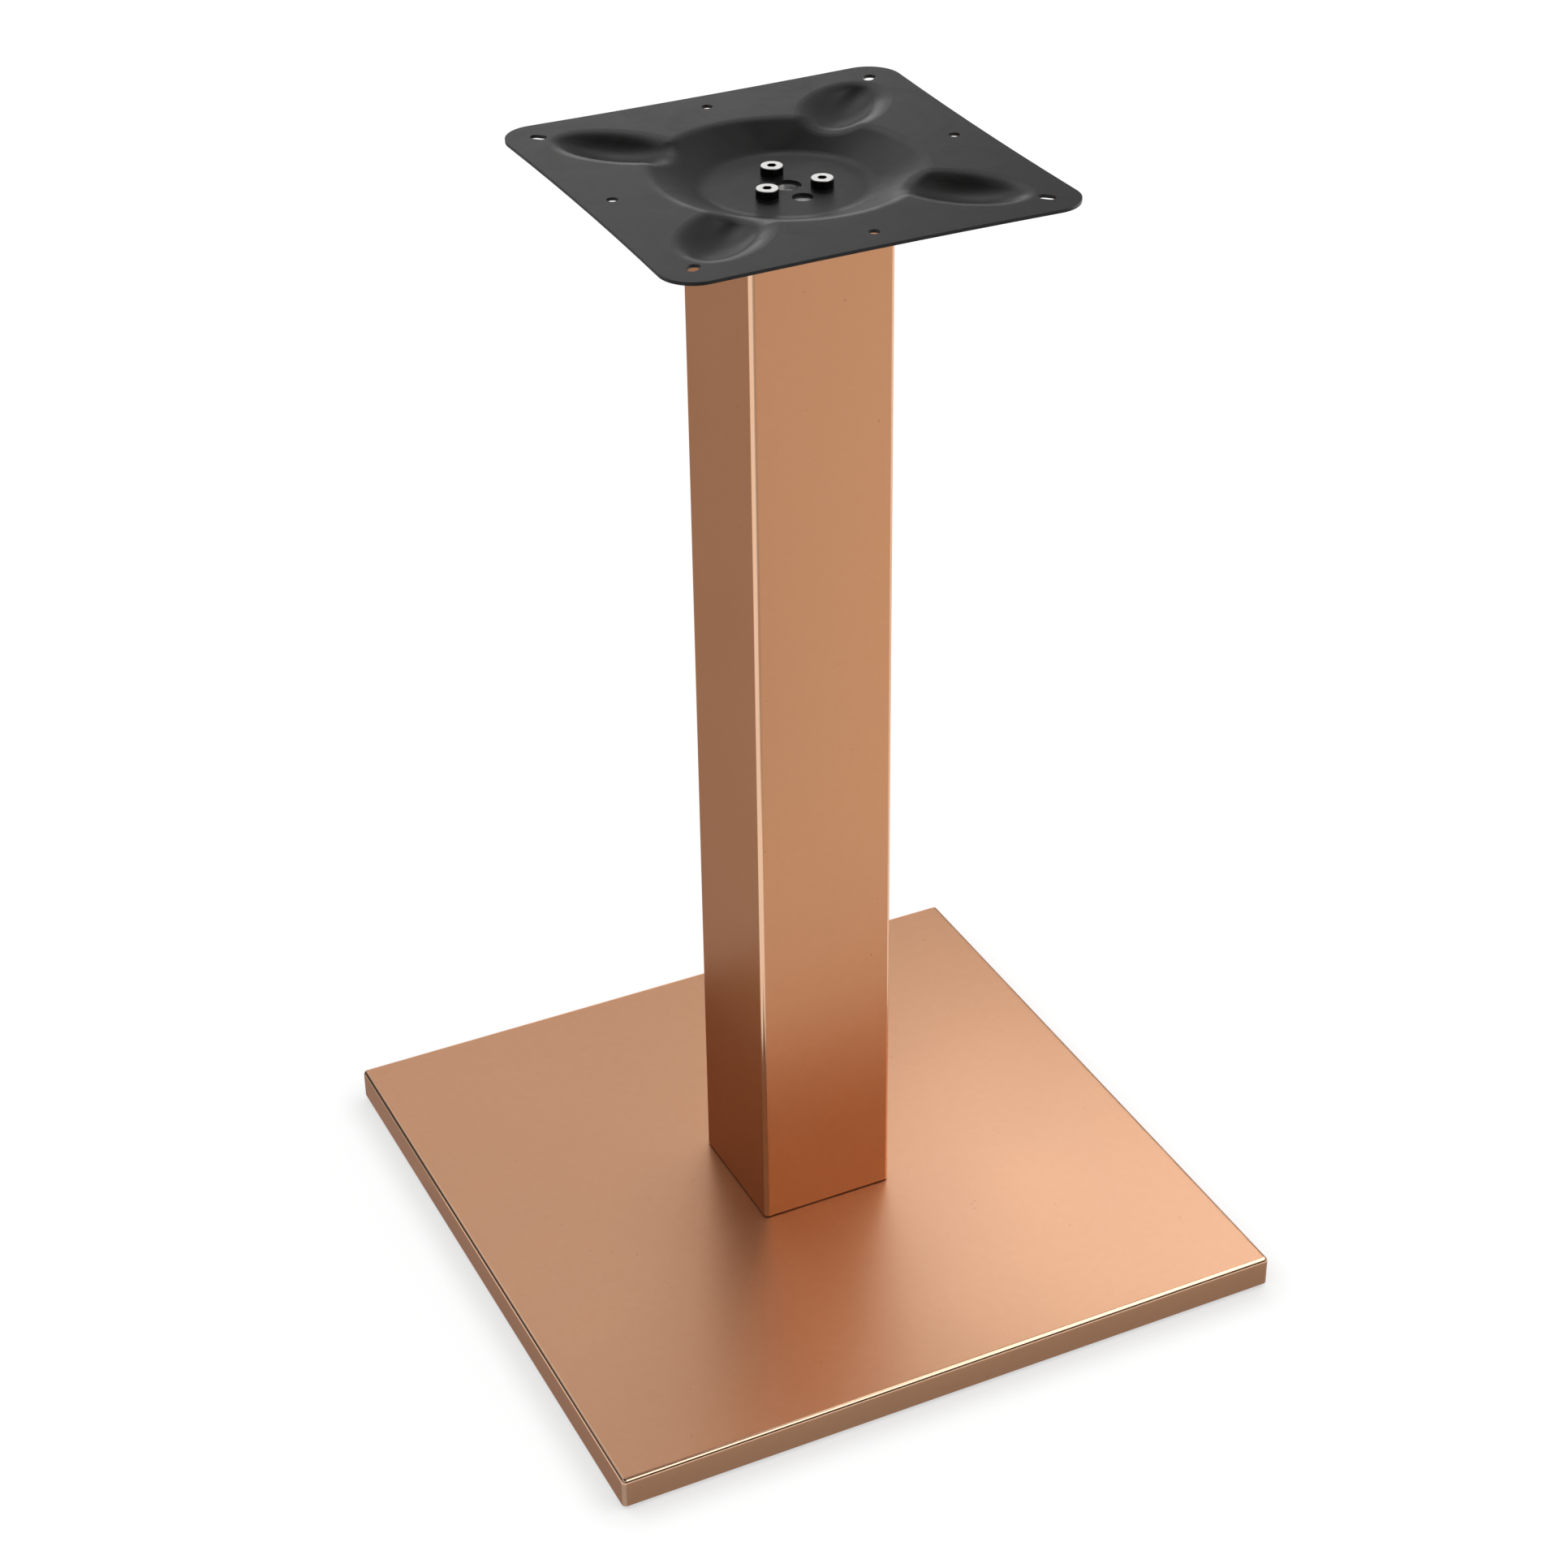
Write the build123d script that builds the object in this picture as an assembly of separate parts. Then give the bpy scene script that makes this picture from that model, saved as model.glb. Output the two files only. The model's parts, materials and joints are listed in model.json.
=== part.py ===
from build123d import *
from math import atan2, sqrt, tan
import os

# Pedestal base for a square table top: a weighted square foot under a folded sheet cover,
# a square tube column clamped to it by a tie rod, and a pressed steel plate that carries the top.
# Millimetres. The origin is on the floor under the middle of the foot, +Z is up.
# The wide face seen in the photograph looks along -Y, the narrow one along -X.

# Overall
overall_height = 720.0      # floor to the flat rim of the top plate
base_side = 450.0           # outside of the foot's cover
column_side = 90.0          # outside of the column tube
plate_side = 250.0          # top plate, across its corners' straight sides

# Base cover, one sheet folded down on four sides
cover_sheet = 1.5
cover_depth = 20.0          # height of the folded skirt, outside
cover_bend_r = 3.0          # outside radius of the long bends
cover_corner_r = 3.0        # outside radius of the welded and ground upright corners
floor_gap = 3.0             # floor to the skirt's lower edge, feet screwed right in

# Ballast plate under the cover
ballast_thick = 8.0
ballast_clear = 3.5         # to the inside of the skirt
ballast_corner_r = 12.0
ballast_edge_chamfer = 1.0

# Column tube and the plates welded into its ends
tube_wall = 1.5
tube_corner_r = 3.0         # outside
tube_lift = 0.8             # shadow gap between the tube's end and the cover
end_plate_clear = 0.1       # weld fit of an end plate in the tube
foot_plate_thick = 8.0
head_plate_thick = 6.0

# Tie rod through the column, its nuts and its washer
rod_d = 12.0
rod_hole_clear = 0.5        # on the radius, in every plate that the rod passes
rod_top_recess = 2.0        # rod end below the head plate's upper face
rod_tail = 1.0              # rod end below the clamp nut
rod_end_chamfer = 1.0
thread_clear = 0.05         # on the radius, for every threaded pair
clamp_nut_flats = 18.0
clamp_nut_height = 6.0
clamp_washer_d = 40.0
clamp_washer_thick = 3.0
weld_nut_flats = 18.0
weld_nut_height = 10.0
nut_chamfer = 1.0

# Spring pins that stop the column from turning on the foot
pin_d = 6.0
pin_wall = 1.2
pin_length = 15.0
pin_slit = 1.0
pin_fit = 0.02              # on the radius
pin_spacing = 56.0
pin_recess = 1.0            # pin end above the ballast plate's lower face
pin_end_chamfer = 0.4

# Top plate, pressed from one sheet
plate_sheet = 2.0
plate_corner_r = 20.0
plate_draw_in = 2.5         # how far pressing pulls the middle of each side inwards
dish_depth = 11.0
dish_rim_r = 77.0           # where the dish's wall meets the rim plane
dish_floor_r = 48.0         # where it meets the dish's floor
dish_rim_bend = 20.0        # upper side of the bend round the dish and the dimples
dish_floor_bend = 20.0      # upper side of the bend round the dish's floor
dimple_reach = 100.0        # plate centre to dimple centre, along a diagonal
dimple_length = 76.0
dimple_width = 39.0
dimple_depth = 8.0
fixing_inset = 20.0         # rim holes, from the plate's side lines
fixing_hole_d = 6.5
fixing_slot_length = 10.0   # corner slots, end to end along the diagonals
rod_window_d = 16.0         # hole over the tie rod's end
hanging_hole_d = 12.0       # hole that the plate hangs by while it is coated

# Low-head socket screws that hold the top plate
screw_circle_r = 19.5       # the hanging hole is on the same circle
screw_count = 3
screw_first_angle = 90.0
screw_d = 8.0
screw_length = 16.0
screw_head_d = 13.0
screw_head_height = 5.0
screw_head_chamfer = 0.4
screw_socket_flats = 5.0
screw_socket_depth = 3.0
screw_tip_chamfer = 1.0
screw_hole_clear = 0.5      # on the radius, in the top plate

# Levelling feet: a threaded stud that turns in a nylon pad
foot_inset = 40.0           # foot centre to the outside of the cover
pad_d = 32.0
pad_top_d = 24.0
pad_height = 8.5
pad_straight = 3.5          # height of the pad's upright side
pad_edge_chamfer = 0.8
pad_floor = 3.0             # nylon under the stud's disc
stud_d = 8.0
stud_disc_d = 14.0
stud_disc_thick = 2.2
stud_collar_flats = 13.0
stud_collar_thick = 4.2
stud_collar_gap = 0.4       # collar to the ballast plate, feet screwed right in
stud_top_clear = 0.5        # stud end to the cover
stud_tip_chamfer = 0.8
pad_fit = 0.1               # on the radius and over the disc, stud in pad

# Levels that follow
cover_bottom_z = floor_gap
cover_top_z = cover_bottom_z + cover_depth
ballast_top_z = cover_top_z - cover_sheet
ballast_bottom_z = ballast_top_z - ballast_thick
tube_bottom_z = cover_top_z + tube_lift
dish_floor_z = overall_height - dish_depth
tube_top_z = dish_floor_z - plate_sheet

# Sizes that follow
tube_inner_side = column_side - 2 * tube_wall
tube_inner_r = tube_corner_r - tube_wall
rod_hole_r = rod_d / 2 + rod_hole_clear
foot_spread = base_side / 2 - foot_inset
fixing_spread = plate_side / 2 - fixing_inset
dish_wall_angle = atan2(dish_depth, dish_rim_r - dish_floor_r)


def upright(radius, bottom, top):
    """Round bar on the Z axis between two levels."""
    return Pos(0, 0, bottom) * extrude(Circle(radius), top - bottom)


def rounded_block(side, corner_r, bottom, top):
    """Square block with rounded upright edges, on the Z axis between two levels."""
    return Pos(0, 0, bottom) * extrude(RectangleRounded(side, side, corner_r), top - bottom)


def hexagon(flats, bottom, top, ease):
    """Hexagon bar with its corners turned off at both ends, as on a nut."""
    across_corners_r = flats / sqrt(3)
    bar = Pos(0, 0, bottom) * extrude(RegularPolygon(across_corners_r, 6), top - bottom)
    turned = upright(across_corners_r, bottom, top)
    turned = chamfer(turned.edges().filter_by(GeomType.CIRCLE), ease / 2, ease)
    return bar & turned


def end_chamfered(bar, level, size):
    """Chamfer the round edges of a bar that lie at one level."""
    rims = bar.edges().filter_by(GeomType.CIRCLE)
    return chamfer([rim for rim in rims if abs(rim.center().Z - level) < size / 10], size)


def four_corners(spread):
    """Centres of the four corner positions, anticlockwise from the front left."""
    return [(-spread, -spread), (spread, -spread), (spread, spread), (-spread, spread)]


def pin_places():
    return [(-pin_spacing / 2, 0), (pin_spacing / 2, 0)]


def screw_places():
    return PolarLocations(screw_circle_r, screw_count, screw_first_angle)


def drilled(part, places, radius, bottom, top):
    """Part with a straight hole at each place, cut between two levels."""
    for x, y in places:
        part -= Pos(x, y, 0) * upright(radius, bottom, top)
    return part


def base_cover():
    outer = rounded_block(base_side, cover_corner_r, cover_bottom_z, cover_top_z)
    outer = fillet(outer.faces().sort_by(Axis.Z)[-1].edges(), cover_bend_r)
    inner_side = base_side - 2 * cover_sheet
    inner = rounded_block(inner_side, cover_corner_r - cover_sheet, cover_bottom_z, ballast_top_z)
    inner = fillet(inner.faces().sort_by(Axis.Z)[-1].edges(), cover_bend_r - cover_sheet)
    cover = outer - inner
    cover = drilled(cover, [(0, 0)], rod_hole_r, ballast_top_z, cover_top_z)
    return drilled(cover, pin_places(), pin_d / 2 + pin_fit, ballast_top_z, cover_top_z)


def ballast_plate():
    side = base_side - 2 * cover_sheet - 2 * ballast_clear
    plate = rounded_block(side, ballast_corner_r, ballast_bottom_z, ballast_top_z)
    faces = plate.faces().sort_by(Axis.Z)
    plate = chamfer(faces[0].edges() + faces[-1].edges(), ballast_edge_chamfer)
    plate = drilled(plate, [(0, 0)], rod_hole_r, ballast_bottom_z, ballast_top_z)
    plate = drilled(plate, pin_places(), pin_d / 2 + pin_fit, ballast_bottom_z, ballast_top_z)
    tapped_r = stud_d / 2 + thread_clear
    return drilled(plate, four_corners(foot_spread), tapped_r, ballast_bottom_z, ballast_top_z)


def column_tube():
    outer = rounded_block(column_side, tube_corner_r, tube_bottom_z, tube_top_z)
    return outer - rounded_block(tube_inner_side, tube_inner_r, tube_bottom_z, tube_top_z)


def end_plate(bottom, top):
    """Plate that fits inside the tube, with the tie rod's hole."""
    side = tube_inner_side - 2 * end_plate_clear
    plate = rounded_block(side, tube_inner_r - end_plate_clear, bottom, top)
    return drilled(plate, [(0, 0)], rod_hole_r, bottom, top)


def column_foot_plate():
    top = cover_top_z + foot_plate_thick
    return drilled(end_plate(cover_top_z, top), pin_places(), pin_d / 2 + pin_fit, cover_top_z, top)


def column_head_plate():
    bottom = tube_top_z - head_plate_thick
    plate = end_plate(bottom, tube_top_z)
    for place in screw_places():
        plate -= place * upright(screw_d / 2 + thread_clear, bottom, tube_top_z)
    return plate


def tie_rod():
    bottom = ballast_bottom_z - clamp_washer_thick - clamp_nut_height - rod_tail
    top = tube_top_z - rod_top_recess
    rod = upright(rod_d / 2, bottom, top)
    rod = end_chamfered(rod, bottom, rod_end_chamfer)
    return end_chamfered(rod, top, rod_end_chamfer)


def rod_nut(flats, bottom, top):
    nut = hexagon(flats, bottom, top, nut_chamfer)
    return nut - upright(rod_d / 2 + thread_clear, bottom, top)


def clamp_nut():
    top = ballast_bottom_z - clamp_washer_thick
    return rod_nut(clamp_nut_flats, top - clamp_nut_height, top)


def head_weld_nut():
    top = tube_top_z - head_plate_thick
    return rod_nut(weld_nut_flats, top - weld_nut_height, top)


def clamp_washer():
    bottom = ballast_bottom_z - clamp_washer_thick
    washer = upright(clamp_washer_d / 2, bottom, ballast_bottom_z)
    return washer - upright(rod_hole_r, bottom, ballast_bottom_z)


def spring_pin():
    """Rolled pin with a slit along its length."""
    bottom = ballast_bottom_z + pin_recess
    top = bottom + pin_length
    pin = upright(pin_d / 2, bottom, top)
    pin = end_chamfered(end_chamfered(pin, bottom, pin_end_chamfer), top, pin_end_chamfer)
    pin -= upright(pin_d / 2 - pin_wall, bottom, top)
    slit = Pos(0, pin_d / 2, bottom) * extrude(Rectangle(pin_slit, pin_d), pin_length)
    return pin - slit


def plate_outline():
    """Plate blank after pressing: rounded corners, and sides that bow inwards a little."""
    corners = four_corners(plate_side / 2)
    middle = plate_side / 2 - plate_draw_in
    middles = [(0, -middle), (middle, 0), (0, middle), (-middle, 0)]
    with BuildSketch() as blank:
        with BuildLine():
            for start, middle_point, end in zip(corners, middles, corners[1:] + corners[:1]):
                ThreePointArc(start, middle_point, end)
        make_face()
        fillet(blank.vertices(), plate_corner_r)
    return blank.sketch


def dish_form(skin):
    """Round dish below the rim plane, for the sheet's surface that lies skin under its upper one."""
    shift = skin * tan(dish_wall_angle / 2)
    rim = (dish_rim_r + shift, -skin)
    floor = (dish_floor_r + shift, -dish_depth - skin)
    with BuildPart() as dish:
        with BuildSketch(Plane.XZ):
            with BuildLine():
                Polyline((0, -skin), rim, floor, (0, -dish_depth - skin), close=True)
            make_face()
        revolve(axis=Axis.Z)
    return dish.part


def dimple_form(skin):
    """Cap of a long rounded form, sunk below the rim plane on the +X side."""
    half_width = dimple_width / 2
    cross_r = (half_width ** 2 + dimple_depth ** 2) / (2 * dimple_depth)
    lift = cross_r - dimple_depth
    long_r = dimple_length / 2 / sqrt(1 - (lift / cross_r) ** 2)
    with BuildPart() as form:
        with BuildSketch(Plane.XZ):
            Ellipse(long_r + skin, cross_r + skin)
            with Locations((0, -cross_r - skin)):
                Rectangle(2 * long_r + 4 * skin, 2 * cross_r + 2 * skin, mode=Mode.SUBTRACT)
        revolve(axis=Axis.X)
    below = Pos(0, 0, -skin) * Box(dimple_length * 2, dimple_length * 2, cross_r * 2,
                                   align=(Align.CENTER, Align.CENTER, Align.MAX))
    cap = (Pos(0, 0, lift) * form.part) & below
    return Pos(dimple_reach, 0, 0) * cap


def pressed_form(skin):
    """Dish and four diagonal dimples together."""
    form = dish_form(skin)
    for corner in range(4):
        form += Rot(0, 0, 45 + 90 * corner) * dimple_form(skin)
    return form


def form_edges(sheet, level):
    """Curved edges of the pressing that reach up to the rim plane at a level."""
    inside = plate_side / 2 - plate_draw_in - plate_sheet
    found = []
    for edge in sheet.edges():
        box = edge.bounding_box()
        reach = max(-box.min.X, box.max.X, -box.min.Y, box.max.Y)
        at_level = abs(box.max.Z - level) < plate_sheet / 100
        if at_level and reach < inside and edge.geom_type != GeomType.LINE:
            found.append(edge)
    return found


def floor_edges(sheet, level):
    """Round edge of the dish's floor at a level."""
    return [edge for edge in sheet.edges().filter_by(GeomType.CIRCLE)
            if abs(edge.bounding_box().max.Z - level) < plate_sheet / 100]


def top_plate():
    """The pressing, worked out with its rim's upper face at level 0 and then lifted."""
    sheet = extrude(plate_outline(), -plate_sheet)
    sheet = sheet + pressed_form(plate_sheet) - pressed_form(0)
    sheet = sheet.fillet(dish_rim_bend, form_edges(sheet, 0))
    sheet = sheet.fillet(dish_rim_bend - plate_sheet, form_edges(sheet, -plate_sheet))
    sheet = sheet.fillet(dish_floor_bend, floor_edges(sheet, -dish_depth))
    under_floor = -dish_depth - plate_sheet
    sheet = sheet.fillet(dish_floor_bend + plate_sheet, floor_edges(sheet, under_floor))
    sheet -= upright(rod_window_d / 2, under_floor, 0)
    sheet -= Pos(0, -screw_circle_r, 0) * upright(hanging_hole_d / 2, under_floor, 0)
    for place in screw_places():
        sheet -= place * upright(screw_d / 2 + screw_hole_clear, under_floor, 0)
    middles = [(fixing_spread, 0), (0, fixing_spread), (-fixing_spread, 0), (0, -fixing_spread)]
    sheet = drilled(sheet, middles, fixing_hole_d / 2, -plate_sheet, 0)
    slot = extrude(SlotOverall(fixing_slot_length, fixing_hole_d), -plate_sheet)
    for corner in range(4):
        sheet -= Rot(0, 0, 45 + 90 * corner) * Pos(fixing_spread * sqrt(2), 0, 0) * slot
    return Pos(0, 0, overall_height) * sheet


def socket_screw():
    """Low-head screw with a hexagon socket, standing on the dish's floor."""
    head_top = dish_floor_z + screw_head_height
    head = upright(screw_head_d / 2, dish_floor_z, head_top)
    head = end_chamfered(head, head_top, screw_head_chamfer)
    tip = dish_floor_z - screw_length
    shank = end_chamfered(upright(screw_d / 2, tip, dish_floor_z), tip, screw_tip_chamfer)
    socket = extrude(RegularPolygon(screw_socket_flats / sqrt(3), 6), -screw_socket_depth)
    return head + shank - Pos(0, 0, head_top) * socket


def foot_pad():
    """Nylon pad with a hollow that traps the stud's disc."""
    disc_r = stud_disc_d / 2 + pad_fit
    throat_r = stud_d / 2 + pad_fit
    ceiling = pad_floor + stud_disc_thick + pad_fit
    with BuildPart() as pad:
        with BuildSketch(Plane.XZ):
            with BuildLine():
                Polyline((0, 0), (pad_d / 2 - pad_edge_chamfer, 0), (pad_d / 2, pad_edge_chamfer),
                         (pad_d / 2, pad_straight), (pad_top_d / 2, pad_height),
                         (throat_r, pad_height), (throat_r, ceiling), (disc_r, ceiling),
                         (disc_r, pad_floor), (0, pad_floor), close=True)
            make_face()
        revolve(axis=Axis.Z)
    return pad.part


def foot_stud():
    """Stud with a disc that sits in the pad, a collar for a spanner and a threaded shank."""
    collar_top = ballast_bottom_z - stud_collar_gap
    tip = ballast_top_z - stud_top_clear
    shank = end_chamfered(upright(stud_d / 2, pad_floor, tip), tip, stud_tip_chamfer)
    disc = upright(stud_disc_d / 2, pad_floor, pad_floor + stud_disc_thick)
    collar = hexagon(stud_collar_flats, collar_top - stud_collar_thick, collar_top, nut_chamfer)
    return shank + disc + collar


def group(solids):
    """Like solids that share one node and stay separate."""
    return Compound(children=list(solids))


def write(name, shape):
    export_step(shape, f"parts/{name}.step")


os.makedirs("parts", exist_ok=True)
write("base_cover", base_cover())
write("ballast_plate", ballast_plate())
write("column_tube", column_tube())
write("column_foot_plate", column_foot_plate())
write("column_head_plate", column_head_plate())
write("head_weld_nut", head_weld_nut())
write("tie_rod", tie_rod())
write("clamp_washer", clamp_washer())
write("clamp_nut", clamp_nut())
write("locating_pins", group(Pos(x, y, 0) * spring_pin() for x, y in pin_places()))
write("top_plate", top_plate())
write("top_plate_screws", group(place * socket_screw() for place in screw_places()))
for number, (x, y) in enumerate(four_corners(foot_spread), start=1):
    write(f"foot_pad_{number}", Pos(x, y, 0) * foot_pad())
    write(f"foot_stud_{number}", Pos(x, y, 0) * foot_stud())
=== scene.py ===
"""Looks of the square table base: its finishes, the studio round it and the camera of the photograph.

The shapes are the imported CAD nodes. This script gives each a procedural material in the row frame.
Lengths are in metres and angles in degrees, unless a comment says otherwise.
"""

import json
from functools import reduce
from math import cos, pi, radians, sin, tan

import bpy
from mathutils import Matrix, Vector

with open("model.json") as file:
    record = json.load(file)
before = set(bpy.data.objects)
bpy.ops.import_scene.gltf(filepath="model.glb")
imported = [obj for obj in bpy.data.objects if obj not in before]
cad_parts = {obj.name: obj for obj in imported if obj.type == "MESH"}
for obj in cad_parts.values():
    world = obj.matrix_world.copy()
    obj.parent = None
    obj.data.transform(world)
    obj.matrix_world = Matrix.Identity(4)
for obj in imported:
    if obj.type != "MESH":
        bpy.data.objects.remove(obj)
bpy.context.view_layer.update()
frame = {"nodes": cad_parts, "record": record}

# Camera, fitted to edges of the object in the photograph
CAMERA_AZIMUTH = -25.608        # it stands to the left of straight ahead
CAMERA_ELEVATION = 31.983
CAMERA_ROLL = -0.70
CAMERA_DISTANCE = 2.0119
CAMERA_TARGET = (-0.0064, 0.0, 0.3197)
CAMERA_LENS = 74.94             # mm
CAMERA_SENSOR = 36.0            # mm
CAMERA_NEAREST = 0.05
CAMERA_FARTHEST = 50.0

# Floor and fill
FLOOR_SIDE = 14.0
FLOOR_ALBEDO = 0.26
FLOOR_GLOW = 0.79               # what the background's rays see on top of the light that falls on the floor
CONTACT_REACH = 0.024           # how far the glow's own shadow reaches from what stands on the floor
CONTACT_SHADE = 0.74            # the glow's share left where the floor is half hidden
SKY_FILL = 0.85                 # what the world adds to the diffuse light

# Key lamp, which neither the camera nor gloss sees
KEY_AZIMUTH = 80.0
KEY_ELEVATION = 52.0
KEY_DISTANCE = 3.5
KEY_HALF_ANGLE = 24.0           # half the angle that the lamp fills as seen from the object
KEY_RADIANCE = 0.55
KEY_AIM_HEIGHT = 0.1

# Dome, which is all that gloss sees far off. Its azimuths run from +X towards +Y.
DOME_RADIUS = 6.5
DOME_RINGS = 24
DOME_SEGMENTS = 64
DOME_SLOPES = (                 # angle, start and end of the slope, factor before and after it, eased or not
    ("elevation", 32.0, 43.0, 0.46, 0.88, True),
    ("elevation", 43.0, 56.0, 1.0, 0.10, True),
    ("azimuth", 50.0, 74.0, 0.78, 1.05, False),
    ("azimuth", 88.0, 112.0, 1.0, 0.70, True),
    ("elevation", 2.0, 8.0, 0.35, 1.0, True),
)
DOME_SHADES = (                 # dark fields (azimuths, softness), elevations where they fade, share kept
    (((-118.0, -75.0, 4.0),), (34.0, 46.0), 0.25),
    (((-80.0, -40.0, 6.0), (116.0, 142.0, 5.0)), (24.0, 32.0), 0.12),
)
DOME_LIGHTS = (                 # azimuths, elevations, softness of the sides and strength of each lit field
    ((-30.0, 26.0), (54.0, 70.0), 6.0, 3.2),
    ((86.0, 106.0), (38.0, 58.0), 5.0, 0.9),
    ((-78.0, -36.0), (37.5, 60.0), 5.0, 2.3),
    ((63.0, 82.0), (39.0, 52.0), 4.0, 1.5),
    ((60.5, 80.0), (0.0, 20.0), 3.0, 1.4),
)

# Curved panel on the right, seen by gloss alone. Its azimuths are measured as the dome's.
PANEL_RADIUS = 0.75
PANEL_SEGMENTS = 48
PANEL_HALF_TURN = 90.0          # how far the mesh runs to either side of +X
PANEL_EDGES = (0.2, 0.9)        # heights of the mesh, which is clear outside the lit field
PANEL_LIT_SIDES = (-32.0, 57.0)
PANEL_SIDE_SOFTNESS = 7.0
PANEL_LIT_HEIGHTS = (0.51, 0.70)
PANEL_HEIGHT_SOFTNESS = 0.03
PANEL_RISE = (0.50, 0.66)       # heights between which the light grows
PANEL_STRENGTHS = (1.12, 7.28)  # below and above that rise
PANEL_COLOUR = (0.98, 1.02, 1.06, 1.0)

# Cards on the floor, seen by gloss alone: glowing grey painted shade of the floor, and a painted shadow round
# the foot
CARD_HEIGHT = 0.002
# Painted shade: darker floor seen only in reflections, in front and behind on the left
FRONT_CARD = ((-0.31, -0.55), (0.17, -0.55), (0.68, -2.2), (-1.27, -2.2))
FRONT_CARD_SHADE = 0.55
BACK_CARD = ((-0.24, 0.10), (-0.06, 0.30), (-0.15, 2.6), (-2.2, 2.2))
BACK_CARD_SHADE = 0.50
# Strips round the foot: a painted shadow of the floor there, for the skirt to mirror
SKIRT_CARD_HEIGHT = 0.0015
SKIRT_CARD_WIDTH = 0.035
SKIRT_CARD_SHADE = 0.45

# Colours that both copper coatings share
# Paler copper put on the bends of the sheet as a painted highlight
COPPER_BEND_HIGHLIGHT = (0.86, 0.56, 0.38, 1.0)
COPPER_PORE = (0.16, 0.07, 0.035, 1.0)
COPPER_EDGE_TINT = (0.75, 0.45, 0.30, 1.0)

# Places of the colour sockets among all those of a mix node
MIX_SHARE = 0
MIX_FIRST = 6
MIX_SECOND = 7
MIX_RESULT = 2

DEGREES_IN_RADIAN = 180 / pi


# Small helpers for node trees

def new_material(name):
    """An empty material with its output node."""
    material = bpy.data.materials.new(name)
    material.use_nodes = True
    material.node_tree.nodes.clear()
    output = material.node_tree.nodes.new("ShaderNodeOutputMaterial")
    return material, material.node_tree, output


def fill(tree, socket, value):
    """Sets a socket to a value or joins it to an output."""
    if isinstance(value, bpy.types.NodeSocket):
        tree.links.new(value, socket)
    else:
        socket.default_value = value


def add(tree, kind, inputs=None, **settings):
    """A node with its settings and named inputs."""
    node = tree.nodes.new(kind)
    for name, value in settings.items():
        setattr(node, name, value)
    for name, value in (inputs or {}).items():
        fill(tree, node.inputs[name], value)
    return node


def grey(value):
    """A colour with equal parts."""
    return (value, value, value, 1.0)


def noise(tree, where, scale, detail=3.0, roughness=0.5, distortion=0.0):
    """Noise from 0 to 1 at so many waves a metre."""
    node = add(tree, "ShaderNodeTexNoise", {"Vector": where, "Scale": scale, "Detail": detail,
                                            "Roughness": roughness, "Distortion": distortion})
    return node.outputs["Fac"]


def remap(tree, value, low, high, to_low=0.0, to_high=1.0, eased=False):
    """The value moved from one range to another and kept inside it."""
    node = add(tree, "ShaderNodeMapRange", {"Value": value, "From Min": low, "From Max": high,
                                            "To Min": to_low, "To Max": to_high},
               interpolation_type="SMOOTHSTEP" if eased else "LINEAR")
    return node.outputs["Result"]


def mix_colour(tree, share, first, second):
    """Two colours mixed by a share from 0 to 1."""
    node = add(tree, "ShaderNodeMix", data_type="RGBA")
    for place_in_list, value in ((MIX_SHARE, share), (MIX_FIRST, first), (MIX_SECOND, second)):
        fill(tree, node.inputs[place_in_list], value)
    return node.outputs[MIX_RESULT]


def maths(tree, operation, first, second=0.0):
    """One sum on two values."""
    node = add(tree, "ShaderNodeMath", operation=operation)
    for socket, value in zip(node.inputs, (first, second)):
        fill(tree, socket, value)
    return node.outputs[0]


def product(tree, *values):
    """All the values multiplied."""
    return reduce(lambda first, second: maths(tree, "MULTIPLY", first, second), values)


def total(tree, *values):
    """All the values added."""
    return reduce(lambda first, second: maths(tree, "ADD", first, second), values)


def bump(tree, height, depth, normal=None):
    """A surface relief of so many metres, on top of another one if that is given."""
    inputs = {"Height": height, "Distance": depth, "Strength": 1.0}
    if normal is not None:
        inputs["Normal"] = normal
    return add(tree, "ShaderNodeBump", inputs).outputs["Normal"]


def place(tree):
    """The point in the row frame at rest."""
    return add(tree, "ShaderNodeTexCoord").outputs["Object"]


def facing(tree):
    """The surface's normal."""
    return add(tree, "ShaderNodeNewGeometry").outputs["Normal"]


def axes(tree, vector):
    """The X, Y and Z parts of a vector."""
    return add(tree, "ShaderNodeSeparateXYZ", {"Vector": vector}).outputs


def edge_wear(tree, radius):
    """1 on sharp convex edges and 0 on flat stretches, from the rounded normal."""
    rounded = add(tree, "ShaderNodeBevel", {"Radius": radius}, samples=4).outputs["Normal"]
    turn = add(tree, "ShaderNodeVectorMath", operation="DOT_PRODUCT")
    tree.links.new(rounded, turn.inputs[0])
    tree.links.new(facing(tree), turn.inputs[1])
    return remap(tree, turn.outputs["Value"], 0.995, 0.90)


def on_bend(tree):
    """1 where a wall turns into the next and 0 on the walls, which all lie square to the axes."""
    parts = axes(tree, facing(tree))
    sizes = [maths(tree, "ABSOLUTE", parts[axis]) for axis in "XYZ"]
    widest = reduce(lambda first, second: maths(tree, "MAXIMUM", first, second), sizes)
    return remap(tree, widest, 0.99, 0.95)


def finish_with(tree, output, inputs):
    """Ends a material with its principled shader."""
    shader = add(tree, "ShaderNodeBsdfPrincipled", inputs)
    tree.links.new(shader.outputs["BSDF"], output.inputs["Surface"])


def node_reach(node_name, axis):
    """How far a CAD node reaches along the axis x, y or z."""
    node = frame["nodes"][node_name]
    return max(getattr(node.matrix_world @ Vector(corner), axis) for corner in node.bound_box)


# Finishes

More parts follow.
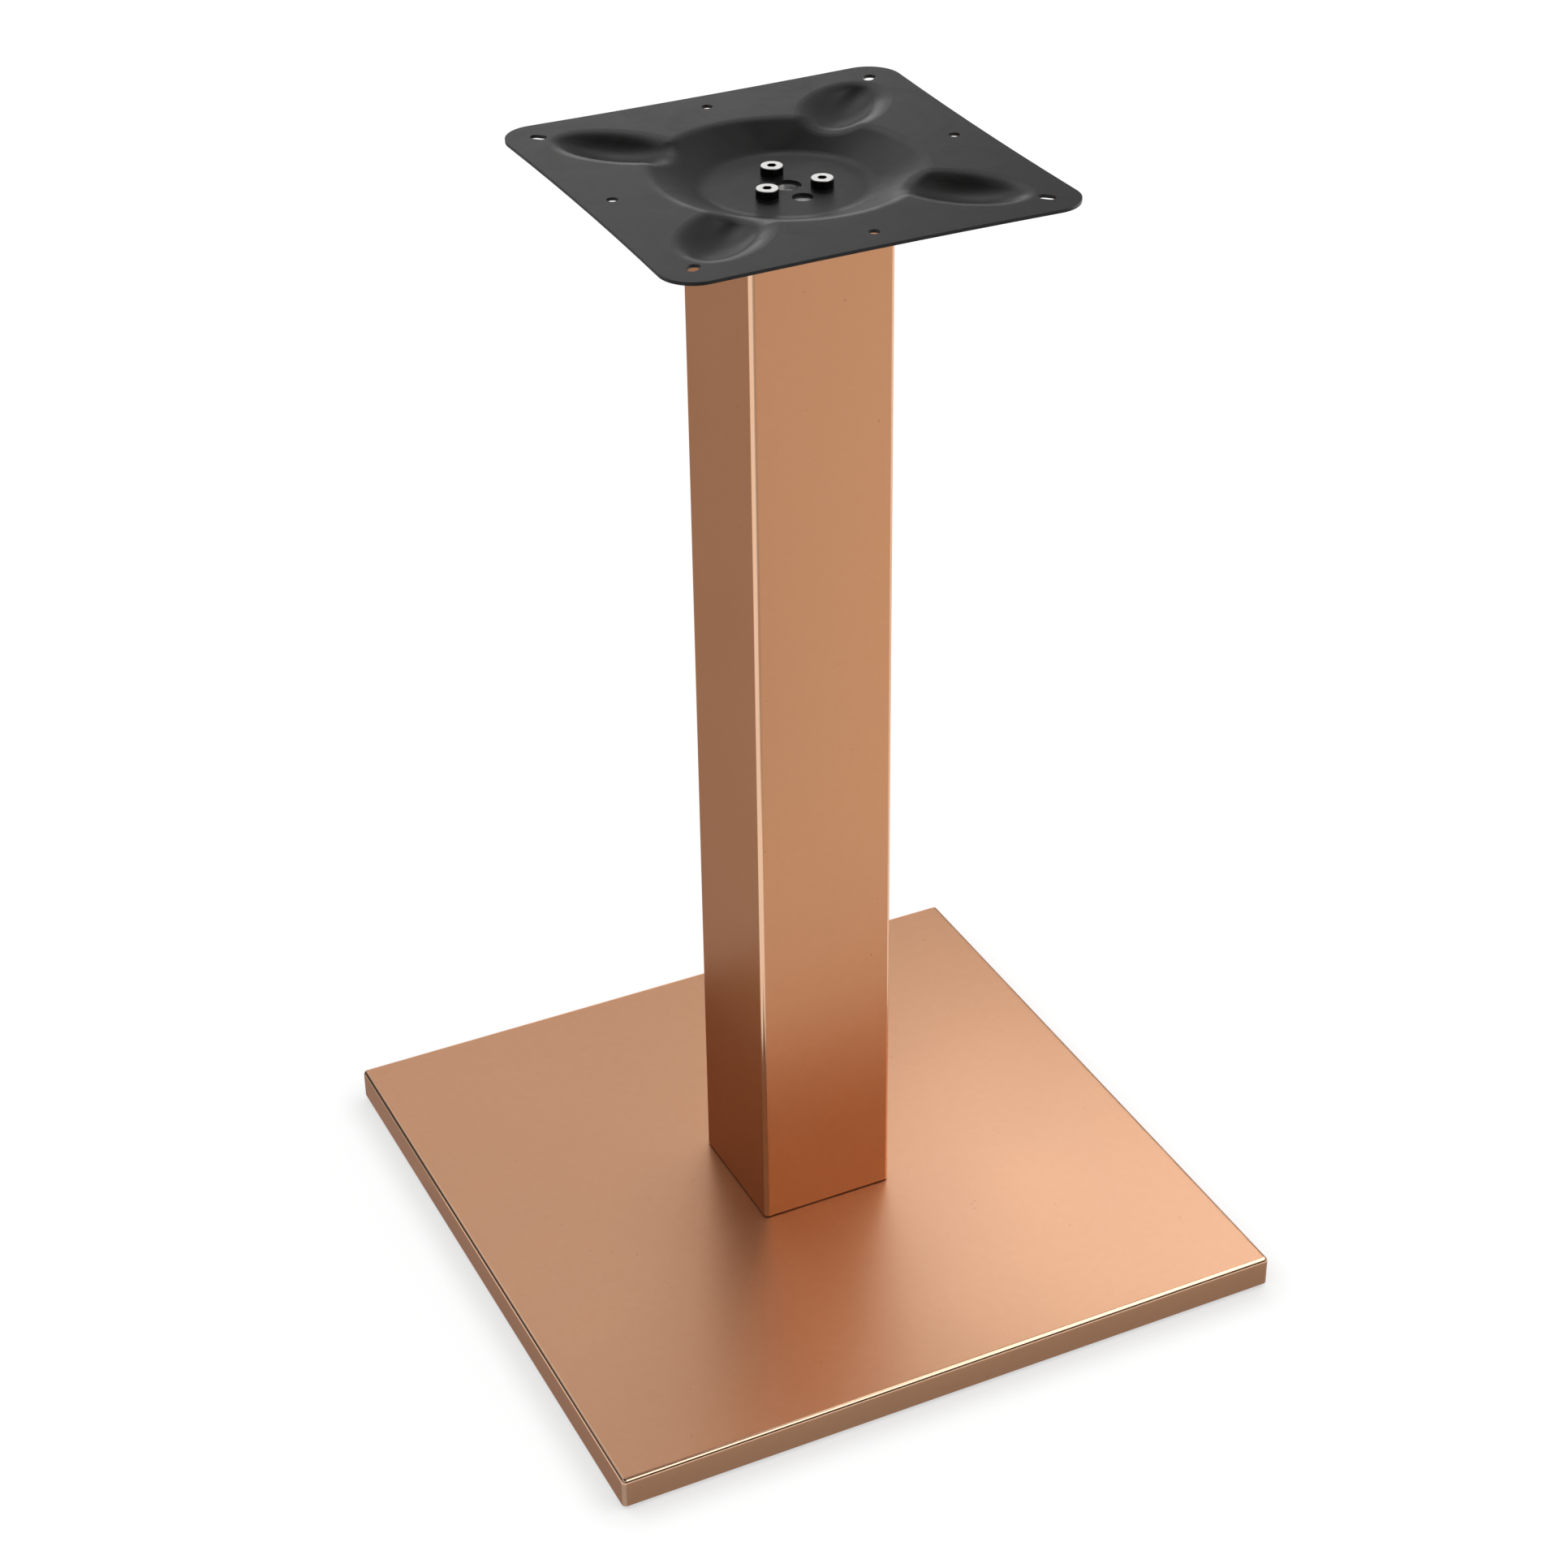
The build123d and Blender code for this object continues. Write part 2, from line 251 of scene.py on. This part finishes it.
def copper_coating(name, base, pale, deep, smoothest, roughest):
    """Satin copper-coloured coating on steel sheet: soft clouds, an orange-peel skin, fine dark pores and a
    painted highlight of paler copper along the bends, which are also smoother.
    """
    material, tree, output = new_material(name)
    where = place(tree)
    clouds = noise(tree, where, scale=9.0, detail=4.0, roughness=0.55, distortion=0.6)
    mottle = noise(tree, where, scale=160.0, roughness=0.6)
    spots = add(tree, "ShaderNodeTexVoronoi", {"Vector": where, "Scale": 95.0, "Randomness": 1.0})
    kept_spots = remap(tree, noise(tree, where, scale=33.0, detail=2.0), 0.52, 0.58)
    pores = product(tree, remap(tree, spots.outputs["Distance"], 0.035, 0.07, 1.0, 0.0), kept_spots)
    # The bends get a painted highlight of paler copper and a lower roughness
    painted_highlight_mask = on_bend(tree)
    colour = mix_colour(tree, remap(tree, clouds, 0.30, 0.70), deep, base)
    colour = mix_colour(tree, remap(tree, mottle, 0.35, 0.75, 0.0, 0.35), colour, pale)
    colour = mix_colour(tree, product(tree, pores, 0.45), colour, COPPER_PORE)
    # Painted highlight along the bends
    colour = mix_colour(tree, product(tree, painted_highlight_mask, 0.8), colour, COPPER_BEND_HIGHLIGHT)
    rough = total(tree, remap(tree, clouds, 0.25, 0.75, smoothest, roughest), product(tree, mottle, 0.03))
    rough = product(tree, rough, remap(tree, painted_highlight_mask, 0.0, 1.0, 1.0, 0.38))
    relief = bump(tree, noise(tree, where, scale=420.0, detail=2.0), depth=2.5e-6)
    relief = bump(tree, noise(tree, where, scale=14.0, detail=2.0), depth=3e-5, normal=relief)
    relief = bump(tree, pores, depth=2e-5, normal=relief)
    finish_with(tree, output, {"Base Color": colour, "Metallic": 1.0, "Roughness": rough, "Normal": relief,
                               "Coat Weight": 0.6, "Coat Roughness": 0.30, "Coat IOR": 1.45,
                               "Specular Tint": COPPER_EDGE_TINT})
    return material


def black_coating(name):
    """Satin black dip coating on pressed steel, with wiped patches and paler worn edges."""
    material, tree, output = new_material(name)
    where = place(tree)
    wipes = noise(tree, where, scale=26.0, detail=5.0, roughness=0.62, distortion=1.4)
    dust = noise(tree, where, scale=240.0, roughness=0.6)
    skin = noise(tree, where, scale=900.0, detail=2.0)
    coated = (0.0028, 0.0025, 0.0023, 1.0)
    wiped = (0.0062, 0.0056, 0.0052, 1.0)
    colour = mix_colour(tree, remap(tree, wipes, 0.42, 0.72), coated, wiped)
    colour = mix_colour(tree, remap(tree, dust, 0.60, 0.85, 0.0, 0.5), colour, grey(0.012))
    wear = product(tree, edge_wear(tree, radius=0.0006), remap(tree, dust, 0.45, 0.65, 0.0, 0.7))
    colour = mix_colour(tree, wear, colour, grey(0.04))
    rough = total(tree, remap(tree, wipes, 0.30, 0.75, 0.31, 0.41), product(tree, dust, 0.04))
    relief = bump(tree, wipes, depth=4e-5, normal=bump(tree, skin, depth=6e-6))
    finish_with(tree, output, {"Base Color": colour, "Metallic": 0.0, "Roughness": rough, "IOR": 1.36,
                               "Normal": relief})
    return material


def zinc_noises(tree, where):
    """The fine crystalline grain of zinc plating and its faint stains."""
    grain = noise(tree, where, scale=1400.0, roughness=0.6)
    stains = noise(tree, where, scale=90.0, detail=4.0, roughness=0.55, distortion=0.8)
    return grain, stains


def plated_steel(name, base, stained, smoothest, roughest):
    """Zinc plating with worn edges."""
    material, tree, output = new_material(name)
    grain, stains = zinc_noises(tree, place(tree))
    colour = mix_colour(tree, remap(tree, stains, 0.40, 0.75), base, stained)
    colour = mix_colour(tree, product(tree, edge_wear(tree, radius=0.0003), 0.5), colour, grey(0.88))
    rough = total(tree, remap(tree, stains, 0.30, 0.70, smoothest, roughest), product(tree, grain, 0.08))
    finish_with(tree, output, {"Base Color": colour, "Metallic": 1.0, "Roughness": rough,
                               "Normal": bump(tree, grain, depth=1.5e-6)})
    return material


def screw_with_painted_highlight(name, top):
    """Plated screw heads coloured dark, as painted shade on the sides and in the sockets, with a painted
    highlight on the flat tops at a known height.
    """
    material, tree, output = new_material(name)
    where = place(tree)
    grain, stains = zinc_noises(tree, where)
    dark_below = top - 0.0005
    bright_above = top - 0.0001
    at_top = remap(tree, axes(tree, where)["Z"], dark_below, bright_above)
    upward = remap(tree, axes(tree, facing(tree))["Z"], 0.55, 0.85)
    # Painted highlight on faces that look up at the heads' top height; the sides and the sockets keep the
    # dark colour as painted shade
    painted_highlight_mask = product(tree, at_top, upward)
    stained = remap(tree, stains, 0.40, 0.75)
    # Dark colour: painted shade on the sides and in the sockets. Bright colour: painted highlight on the tops
    dark = mix_colour(tree, stained, grey(0.020), grey(0.045))
    bright = mix_colour(tree, stained, (0.93, 0.92, 0.90, 1.0), (0.84, 0.82, 0.79, 1.0))
    rough = total(tree, remap(tree, stains, 0.30, 0.70, 0.26, 0.36), product(tree, grain, 0.06))
    finish_with(tree, output, {"Base Color": mix_colour(tree, painted_highlight_mask, dark, bright),
                               "Metallic": remap(tree, painted_highlight_mask, 0.0, 1.0, 1.0, 0.35), "Roughness": rough,
                               "Normal": bump(tree, grain, depth=1.5e-6)})
    return material


def rolled_steel(name):
    """Bare rolled steel: long rolling lines along X and a thin oil film."""
    material, tree, output = new_material(name)
    where = place(tree)
    stretched = add(tree, "ShaderNodeMapping", {"Vector": where, "Scale": (0.06, 1.0, 1.0)}).outputs["Vector"]
    lines = noise(tree, stretched, scale=900.0, detail=4.0, roughness=0.6)
    film = noise(tree, where, scale=30.0, distortion=0.6)
    colour = mix_colour(tree, remap(tree, film, 0.35, 0.70), grey(0.62), (0.50, 0.48, 0.45, 1.0))
    colour = mix_colour(tree, remap(tree, lines, 0.50, 0.80, 0.0, 0.5), colour, grey(0.78))
    finish_with(tree, output, {"Base Color": colour, "Metallic": 1.0,
                               "Roughness": remap(tree, lines, 0.30, 0.75, 0.26, 0.42),
                               "Normal": bump(tree, lines, depth=1e-5)})
    return material


def primed_steel(name):
    """Black primer over thick plate, with a pebbled skin and worn edges."""
    material, tree, output = new_material(name)
    where = place(tree)
    pebbles = noise(tree, where, scale=700.0, roughness=0.6)
    patches = noise(tree, where, scale=20.0, detail=4.0, roughness=0.55, distortion=0.5)
    colour = mix_colour(tree, patches, grey(0.030), (0.052, 0.050, 0.048, 1.0))
    wear = product(tree, edge_wear(tree, radius=0.0008), remap(tree, pebbles, 0.45, 0.60, 0.0, 0.8))
    colour = mix_colour(tree, wear, colour, grey(0.22))
    finish_with(tree, output, {"Base Color": colour, "Metallic": 0.0,
                               "Roughness": remap(tree, pebbles, 0.30, 0.75, 0.52, 0.70),
                               "Normal": bump(tree, pebbles, depth=4e-5)})
    return material


def moulded_nylon(name):
    """Black moulded nylon with a fine spark-eroded grain, scuffed where it meets the floor."""
    material, tree, output = new_material(name)
    where = place(tree)
    grain = noise(tree, where, scale=1600.0, roughness=0.65)
    scuffs = noise(tree, where, scale=220.0, detail=4.0, roughness=0.6, distortion=1.2)
    scuffed_below = 0.0002
    clean_above = 0.0015
    at_floor = remap(tree, axes(tree, where)["Z"], scuffed_below, clean_above, 1.0, 0.0)
    colour = mix_colour(tree, remap(tree, grain, 0.35, 0.75), grey(0.018), grey(0.034))
    scuffed = product(tree, at_floor, remap(tree, scuffs, 0.45, 0.65, 0.0, 0.8))
    colour = mix_colour(tree, scuffed, colour, grey(0.13))
    finish_with(tree, output, {"Base Color": colour, "Metallic": 0.0,
                               "Roughness": remap(tree, grain, 0.30, 0.75, 0.48, 0.66),
                               "Normal": bump(tree, grain, depth=2e-5)})
    return material


# The finish of each material slot in the record
FINISHES = {
    "copper_sheet": copper_coating(
        "copper_sheet_satin", base=(0.60, 0.318, 0.180, 1.0), pale=(0.63, 0.348, 0.205, 1.0),
        deep=(0.58, 0.303, 0.168, 1.0), smoothest=0.385, roughest=0.435),
    "copper_tube": copper_coating(
        "copper_tube_satin", base=(0.61, 0.287, 0.138, 1.0), pale=(0.63, 0.308, 0.157, 1.0),
        deep=(0.59, 0.272, 0.128, 1.0), smoothest=0.32, roughest=0.37),
    "black_pressing": black_coating("black_pressing_satin"),
    "zinc_screw": screw_with_painted_highlight("zinc_screw_painted_highlight", node_reach("top_plate_screws", "z")),
    "zinc_fastener": plated_steel(
        "zinc_fastener_dull", base=(0.68, 0.69, 0.70, 1.0), stained=(0.56, 0.56, 0.55, 1.0),
        smoothest=0.30, roughest=0.42),
    "bare_steel": rolled_steel("bare_steel_rolled"),
    "ballast_steel": primed_steel("ballast_steel_primed"),
    "nylon_pad": moulded_nylon("nylon_pad_moulded"),
}


def dress(record):
    """Gives every CAD node the finish of its material slot."""
    for part in record["subparts"]:
        node = frame["nodes"][part["node"]]
        node.material_slots[0].link = "OBJECT"
        node.material_slots[0].material = FINISHES[part["material_slot"]]


# Studio

def direction(azimuth, elevation):
    """Unit vector towards a place. Here azimuth 0 is towards -Y and 90 towards +X."""
    turn, climb = radians(azimuth), radians(elevation)
    return Vector((sin(turn) * cos(climb), -cos(turn) * cos(climb), sin(climb)))


def key_lamp():
    """A round soft lamp that faces the object."""
    radius = KEY_DISTANCE * tan(radians(KEY_HALF_ANGLE))
    lamp = bpy.data.lights.new("key_box", "AREA")
    lamp.shape = "DISK"
    lamp.size = 2 * radius
    area = pi * radius ** 2
    lamp.energy = KEY_RADIANCE * pi * area
    holder = bpy.data.objects.new("key_box", lamp)
    towards = direction(KEY_AZIMUTH, KEY_ELEVATION)
    holder.location = towards * KEY_DISTANCE + Vector((0.0, 0.0, KEY_AIM_HEIGHT))
    holder.rotation_mode = "QUATERNION"
    holder.rotation_quaternion = towards.to_track_quat("Z", "Y")
    holder.visible_camera = False
    holder.visible_glossy = False
    bpy.context.scene.collection.objects.link(holder)


def reflection_only(name, points, faces, material):
    """A studio piece that no ray but a glossy one meets."""
    mesh = bpy.data.meshes.new(name)
    mesh.from_pydata(points, [], faces)
    mesh.materials.append(material)
    piece = bpy.data.objects.new(name, mesh)
    bpy.context.scene.collection.objects.link(piece)
    for ray in ("camera", "diffuse", "transmission", "volume_scatter", "shadow"):
        setattr(piece, "visible_" + ray, False)


def card(name, corners, height, shade):
    """A flat card of one grey above the floor, which glows as painted shade for gloss alone to see."""
    material, tree, output = new_material(name)
    glow = add(tree, "ShaderNodeEmission", {"Color": grey(shade), "Strength": 1.0})
    tree.links.new(glow.outputs["Emission"], output.inputs["Surface"])
    reflection_only(name, [(x, y, height) for x, y in corners], [tuple(range(len(corners)))], material)


def skirt_shadow_cards():
    """Four strips of painted shadow round the foot, standing in for the floor's shadow next to it, for its
    skirt to mirror.
    """
    near = node_reach("base_cover", "x")
    far = near + SKIRT_CARD_WIDTH
    strips = ((-far, -far, far, -near), (-far, near, far, far), (-far, -near, -near, near),
              (near, -near, far, near))
    for left, front, right, back in strips:
        card("skirt_painted_shadow", ((left, front), (right, front), (right, back), (left, back)),
             SKIRT_CARD_HEIGHT, SKIRT_CARD_SHADE)


def window(tree, value, low, high, soft):
    """1 between two values and 0 outside them, with soft edges."""
    rise = remap(tree, value, low - soft, low + soft, eased=True)
    fall = remap(tree, value, high - soft, high + soft, 1.0, 0.0, eased=True)
    return product(tree, rise, fall)


def azimuth_of(tree, parts):
    """The azimuth of a point, from +X towards +Y."""
    return product(tree, maths(tree, "ARCTAN2", parts["Y"], parts["X"]), DEGREES_IN_RADIAN)


def dome_level(tree, angles):
    """The dome's grey: slopes with height and round the object, and the dark fields."""
    level = product(tree, *[remap(tree, angles[angle], start, end, before, after, eased)
                            for angle, start, end, before, after, eased in DOME_SLOPES])
    for fields, (full, gone), kept in DOME_SHADES:
        across = total(tree, *[window(tree, angles["azimuth"], *field) for field in fields])
        shade = product(tree, across, remap(tree, angles["elevation"], full, gone, 1.0, 0.0, eased=True))
        level = product(tree, level, remap(tree, shade, 0.0, 1.0, 1.0, kept))
    return level


def lit_field(tree, angles, sides, heights, soft, strength):
    """A soft-edged lit field of the dome between two azimuths and two elevations."""
    across = window(tree, angles["azimuth"], *sides, soft)
    up = window(tree, angles["elevation"], *heights, soft / 2)
    return product(tree, across, up, strength)


def dome_mesh():
    """Points and faces of a half sphere that stands on the floor."""
    points = [direction(360 * step / DOME_SEGMENTS, 90 * ring / DOME_RINGS) * DOME_RADIUS
              for ring in range(DOME_RINGS) for step in range(DOME_SEGMENTS)]
    points.append(direction(0, 90) * DOME_RADIUS)
    faces = []
    for ring in range(DOME_RINGS):
        for step in range(DOME_SEGMENTS):
            after = (step + 1) % DOME_SEGMENTS
            low, high = ring * DOME_SEGMENTS, (ring + 1) * DOME_SEGMENTS
            if ring < DOME_RINGS - 1:
                faces.append((low + step, low + after, high + after, high + step))
            else:
                faces.append((low + step, low + after, high))
    return points, faces


def reflected_dome():
    """What gloss sees far off: grey walls with a dark foot and top, dark fields and lit fields."""
    material, tree, output = new_material("reflected_dome")
    parts = axes(tree, place(tree))
    climb = maths(tree, "ARCSINE", maths(tree, "DIVIDE", parts["Z"], DOME_RADIUS))
    angles = {"azimuth": azimuth_of(tree, parts), "elevation": product(tree, climb, DEGREES_IN_RADIAN)}
    lights = total(tree, *[lit_field(tree, angles, *field) for field in DOME_LIGHTS])
    glow = add(tree, "ShaderNodeEmission", {"Strength": total(tree, dome_level(tree, angles), lights)})
    tree.links.new(glow.outputs["Emission"], output.inputs["Surface"])
    material.cycles.emission_sampling = "NONE"
    reflection_only("reflected_dome", *dome_mesh(), material)


def reflected_panel():
    """A long curved panel of light on the right, which ends at the level of the top plate."""
    material, tree, output = new_material("reflected_panel")
    parts = axes(tree, place(tree))
    mask = product(tree, window(tree, azimuth_of(tree, parts), *PANEL_LIT_SIDES, PANEL_SIDE_SOFTNESS),
                   window(tree, parts["Z"], *PANEL_LIT_HEIGHTS, PANEL_HEIGHT_SOFTNESS))
    strength = remap(tree, parts["Z"], *PANEL_RISE, *PANEL_STRENGTHS)
    glow = add(tree, "ShaderNodeEmission", {"Color": PANEL_COLOUR, "Strength": strength})
    clear = add(tree, "ShaderNodeBsdfTransparent")
    both = add(tree, "ShaderNodeMixShader", {"Fac": mask})
    tree.links.new(clear.outputs["BSDF"], both.inputs[1])
    tree.links.new(glow.outputs["Emission"], both.inputs[2])
    tree.links.new(both.outputs["Shader"], output.inputs["Surface"])
    material.cycles.emission_sampling = "NONE"
    row = PANEL_SEGMENTS + 1
    turns = [radians(PANEL_HALF_TURN * (2 * step / PANEL_SEGMENTS - 1)) for step in range(row)]
    points = [(PANEL_RADIUS * cos(turn), PANEL_RADIUS * sin(turn), height)
              for height in PANEL_EDGES for turn in turns]
    faces = [(step, step + 1, row + step + 1, row + step) for step in range(PANEL_SEGMENTS)]
    reflection_only("reflected_panel", points, faces, material)


def background_share(tree):
    """1 for rays that show the background: those of the camera, of gloss and of transmission."""
    path = add(tree, "ShaderNodeLightPath").outputs
    share = maths(tree, "MAXIMUM", path["Is Camera Ray"], path["Is Glossy Ray"])
    return maths(tree, "MAXIMUM", share, path["Is Transmission Ray"])


def studio_floor():
    """Pale matt floor. Its glow for the background's rays lifts it to white and keeps the shadow."""
    material, tree, output = new_material("studio_floor")
    matt = add(tree, "ShaderNodeBsdfDiffuse", {"Color": grey(FLOOR_ALBEDO)})
    hidden = add(tree, "ShaderNodeAmbientOcclusion", {"Distance": CONTACT_REACH}, samples=8).outputs["AO"]
    kept = remap(tree, hidden, 0.5, 1.0, CONTACT_SHADE, 1.0)
    level = product(tree, background_share(tree), FLOOR_GLOW, kept)
    glow = add(tree, "ShaderNodeEmission", {"Strength": level})
    both = add(tree, "ShaderNodeAddShader")
    tree.links.new(matt.outputs["BSDF"], both.inputs[0])
    tree.links.new(glow.outputs["Emission"], both.inputs[1])
    tree.links.new(both.outputs["Shader"], output.inputs["Surface"])
    half = FLOOR_SIDE / 2
    corners = [(-half, -half, 0), (half, -half, 0), (half, half, 0), (-half, half, 0)]
    mesh = bpy.data.meshes.new("studio_floor")
    mesh.from_pydata(corners, [], [(0, 1, 2, 3)])
    mesh.materials.append(material)
    floor = bpy.data.objects.new("studio_floor", mesh)
    bpy.context.scene.collection.objects.link(floor)


def studio_world():
    """White for the background's rays and a plain fill for diffuse light."""
    world = bpy.data.worlds.new("studio")
    bpy.context.scene.world = world
    world.use_nodes = True
    tree = world.node_tree
    tree.nodes.clear()
    level = remap(tree, background_share(tree), 0.0, 1.0, SKY_FILL, 1.0)
    sky = add(tree, "ShaderNodeBackground", {"Color": grey(1.0), "Strength": level})
    output = add(tree, "ShaderNodeOutputWorld")
    tree.links.new(sky.outputs["Background"], output.inputs["Surface"])


def photo_camera():
    """The photograph's camera."""
    back = direction(CAMERA_AZIMUTH, CAMERA_ELEVATION)
    right = (-back).cross(Vector((0, 0, 1))).normalized()
    up = right.cross(-back)
    roll = radians(CAMERA_ROLL)
    turned_right = right * cos(roll) + up * sin(roll)
    turned_up = up * cos(roll) - right * sin(roll)
    data = bpy.data.cameras.new("photo_camera")
    data.lens = CAMERA_LENS
    data.sensor_width = CAMERA_SENSOR
    data.clip_start = CAMERA_NEAREST
    data.clip_end = CAMERA_FARTHEST
    camera = bpy.data.objects.new("photo_camera", data)
    bpy.context.scene.collection.objects.link(camera)
    stand = Matrix.Translation(Vector(CAMERA_TARGET) + back * CAMERA_DISTANCE)
    camera.matrix_world = stand @ Matrix((turned_right, turned_up, back)).transposed().to_4x4()
    bpy.context.scene.camera = camera


dress(frame["record"])
studio_floor()
studio_world()
reflected_dome()
reflected_panel()
key_lamp()
card("front_floor_painted_shade", FRONT_CARD, CARD_HEIGHT, FRONT_CARD_SHADE)
skirt_shadow_cards()
card("back_floor_painted_shade", BACK_CARD, CARD_HEIGHT, BACK_CARD_SHADE)
photo_camera()
bpy.context.scene.view_settings.view_transform = "Standard"
